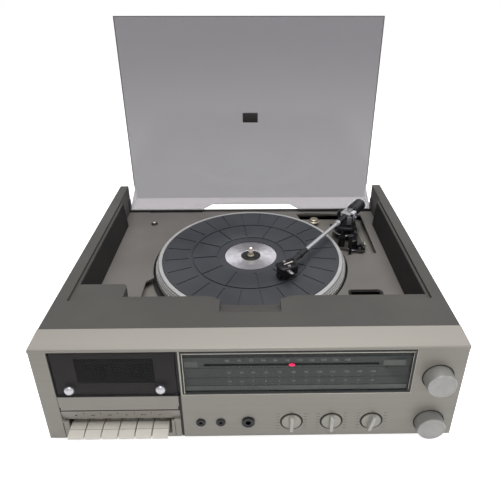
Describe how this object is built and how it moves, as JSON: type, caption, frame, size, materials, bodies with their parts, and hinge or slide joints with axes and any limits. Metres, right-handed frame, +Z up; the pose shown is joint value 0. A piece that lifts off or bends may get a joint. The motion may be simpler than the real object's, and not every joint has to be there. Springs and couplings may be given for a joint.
{
  "type": "stereo music centre",
  "caption": "Table-top music centre: record player under a hinged clear lid, with radio dial, cassette deck with piano keys, rotary controls and sockets on the front.",
  "frame": {"origin": "on the table under the middle of the whole part with its lid open, at the feet's height", "axes": "+X to the user's right, +Y from the front panel to the back, +Z up"},
  "size_m": [0.48, 0.47, 0.4415],
  "materials": {
    "cabinet_plastic": "satin, lightly textured",
    "deck_plastic": "satin",
    "front_silver": "satin warm silver",
    "black_plastic": "satin black",
    "gloss_black": "gloss black",
    "black_metal": "semi-gloss black",
    "dial_print": "dark printed scale",
    "smoked_clear": "clear, smoked",
    "lid_clear": "clear, lightly smoked",
    "knob_silver": "turned, satin",
    "pointer_red": "gloss red",
    "bright_metal": "bright",
    "key_ivory": "ivory gloss",
    "steel": "plain",
    "brass": "turned",
    "rubber_black": "matt",
    "mat_rubber": "ribbed, matt",
    "platter_alloy": "turned rim",
    "disc_alloy": "bright satin",
    "board_green": "circuit board",
    "inner_metal": "plain"
  },
  "bodies": {
    "cabinet": {"top_case": "cabinet_plastic", "deck_plate": "deck_plastic", "base_pan": "black_plastic", "feet": "rubber_black", "rear_panel": "black_plastic", "rear_sockets": "gloss_black", "mains_inlet": "gloss_black", "front_panel": "front_silver", "dial_frame": "gloss_black", "dial_glass": "smoked_clear", "dial_scale": "dial_print", "control_plate": "black_metal", "control_pots": "steel", "mic_sockets": "bright_metal", "phones_socket": "bright_metal", "cassette_fascia": "front_silver", "cassette_bay": "black_plastic", "tape_heads": "steel", "turntable_chassis": "black_metal", "suspension_mounts": "rubber_black", "transit_screws": "bright_metal", "platter_bearing": "brass", "platter_motor": "inner_metal", "drive_belt": "rubber_black", "arm_base": "gloss_black", "arm_rest": "black_plastic", "hinge_brackets": "black_plastic", "circuit_board": "board_green", "power_transformer": "inner_metal"},
    "lid": {"lid": "lid_clear"},
    "platter": {"platter": "platter_alloy", "platter_mat": "mat_rubber", "label_disc": "disc_alloy", "spindle": "bright_metal"},
    "pulley": {"motor_pulley": "brass"},
    "arm_turn": {"arm_yoke": "black_plastic"},
    "arm": {"arm_tube": "bright_metal", "headshell": "black_plastic", "cartridge": "gloss_black", "counterweight": "black_metal"},
    "lift": {"lift_bar": "steel"},
    "lever": {"cue_lever": "black_plastic"},
    "door": {"cassette_door": "front_silver", "door_window": "smoked_clear", "door_studs": "bright_metal"},
    "tuning": {"tuning_knob": "knob_silver"},
    "volume": {"volume_knob": "knob_silver"},
    "tone": {"tone_knob": "knob_silver"},
    "selector": {"selector_knob": "knob_silver"},
    "balance": {"balance_knob": "knob_silver"},
    "pointer": {"dial_pointer": "pointer_red"},
    "reel_left": {"reel_spindle_left": "gloss_black"},
    "reel_right": {"reel_spindle_right": "gloss_black"},
    "key_1": {"cassette_key_1": "key_ivory"},
    "key_2": {"cassette_key_2": "key_ivory"},
    "key_3": {"cassette_key_3": "key_ivory"},
    "key_4": {"cassette_key_4": "key_ivory"},
    "key_5": {"cassette_key_5": "key_ivory"},
    "key_6": {"cassette_key_6": "key_ivory"}
  },
  "joints": [
    {"name": "lid_hinge", "type": "hinge", "parent": "cabinet", "child": "lid", "pos_m": [0, 0.1935, 0.1095], "axis": [1, 0, 0], "range_deg": [0, 90]},
    {"name": "platter_spin", "type": "hinge", "parent": "cabinet", "child": "platter", "pos_m": [0.0002, 0.0194, 0.11], "axis": [0, 0, 1], "continuous": true},
    {"name": "pulley_spin", "type": "hinge", "parent": "cabinet", "child": "pulley", "pos_m": [-0.079, 0.0986, 0.0985], "axis": [0, 0, 1], "continuous": true},
    {"name": "arm_swing", "type": "hinge", "parent": "cabinet", "child": "arm_turn", "pos_m": [0.1647, 0.1114, 0.12], "axis": [0, 0, 1], "range_deg": [-8.2, 33.5]},
    {"name": "arm_tilt", "type": "hinge", "parent": "arm_turn", "child": "arm", "pos_m": [0.1647, 0.1114, 0.1335], "axis": [-0.8039, 0.5948, 0], "range_deg": [0, 2.8]},
    {"name": "lift_slide", "type": "slide", "parent": "cabinet", "child": "lift", "axis": [0, 0, 1], "range_m": [0, 0.00186]},
    {"name": "cue_turn", "type": "hinge", "parent": "cabinet", "child": "lever", "pos_m": [0.181, 0.065, 0.102], "axis": [-1, 0, 0], "range_deg": [0, 60]},
    {"name": "door_hinge", "type": "hinge", "parent": "cabinet", "child": "door", "pos_m": [-0.1518, -0.218, 0.0575], "axis": [1, 0, 0], "range_deg": [0, 35]},
    {"name": "tuning_turn", "type": "hinge", "parent": "cabinet", "child": "tuning", "pos_m": [0.2113, -0.22, 0.103], "axis": [0, 1, 0], "range_deg": [-1077, 1077]},
    {"name": "pointer_slide", "type": "slide", "parent": "cabinet", "child": "pointer", "axis": [1, 0, 0], "range_m": [-0.094, 0.094]},
    {"name": "volume_turn", "type": "hinge", "parent": "cabinet", "child": "volume", "pos_m": [0.2113, -0.22, 0.0317], "axis": [0, 1, 0], "range_deg": [0, 280]},
    {"name": "tone_turn", "type": "hinge", "parent": "cabinet", "child": "tone", "pos_m": [0.048, -0.22, 0.0338], "axis": [0, 1, 0], "range_deg": [-140, 140]},
    {"name": "selector_turn", "type": "hinge", "parent": "cabinet", "child": "selector", "pos_m": [0.0952, -0.22, 0.0338], "axis": [0, 1, 0], "range_deg": [-60, 60]},
    {"name": "balance_turn", "type": "hinge", "parent": "cabinet", "child": "balance", "pos_m": [0.1427, -0.22, 0.0338], "axis": [0, 1, 0], "range_deg": [-152, 128]},
    {"name": "key_1_press", "type": "hinge", "parent": "cabinet", "child": "key_1", "pos_m": [-0.2042, -0.16, 0.0215], "axis": [1, 0, 0], "range_deg": [0, 5], "stiffness_Nm_per_rad": 0.15, "springref_deg": -5.73},
    {"name": "key_2_press", "type": "hinge", "parent": "cabinet", "child": "key_2", "pos_m": [-0.1846, -0.16, 0.0215], "axis": [1, 0, 0], "range_deg": [0, 5], "stiffness_Nm_per_rad": 0.15, "springref_deg": -5.73},
    {"name": "key_3_press", "type": "hinge", "parent": "cabinet", "child": "key_3", "pos_m": [-0.165, -0.16, 0.0215], "axis": [1, 0, 0], "range_deg": [0, 5], "stiffness_Nm_per_rad": 0.15, "springref_deg": -5.73},
    {"name": "key_4_press", "type": "hinge", "parent": "cabinet", "child": "key_4", "pos_m": [-0.1454, -0.16, 0.0215], "axis": [1, 0, 0], "range_deg": [0, 5], "stiffness_Nm_per_rad": 0.15, "springref_deg": -5.73},
    {"name": "key_5_press", "type": "hinge", "parent": "cabinet", "child": "key_5", "pos_m": [-0.1258, -0.16, 0.0215], "axis": [1, 0, 0], "range_deg": [0, 5], "stiffness_Nm_per_rad": 0.15, "springref_deg": -5.73},
    {"name": "key_6_press", "type": "hinge", "parent": "cabinet", "child": "key_6", "pos_m": [-0.1062, -0.16, 0.0215], "axis": [1, 0, 0], "range_deg": [0, 5], "stiffness_Nm_per_rad": 0.15, "springref_deg": -5.73},
    {"name": "reel_left_spin", "type": "hinge", "parent": "cabinet", "child": "reel_left", "pos_m": [-0.17305, -0.2, 0.1], "axis": [0, 1, 0], "continuous": true},
    {"name": "reel_right_spin", "type": "hinge", "parent": "cabinet", "child": "reel_right", "pos_m": [-0.13055, -0.2, 0.1], "axis": [0, 1, 0], "continuous": true}
  ],
  "couplings": [
    {"joint": "pulley_spin", "follows": "platter_spin", "ratio": 15.833},
    {"joint": "arm_tilt", "follows": "cue_turn", "ratio": 0.0466},
    {"joint": "lift_slide", "follows": "cue_turn", "m_per_rad": 0.001775},
    {"joint": "pointer_slide", "follows": "tuning_turn", "m_per_rad": 0.005}
  ]
}
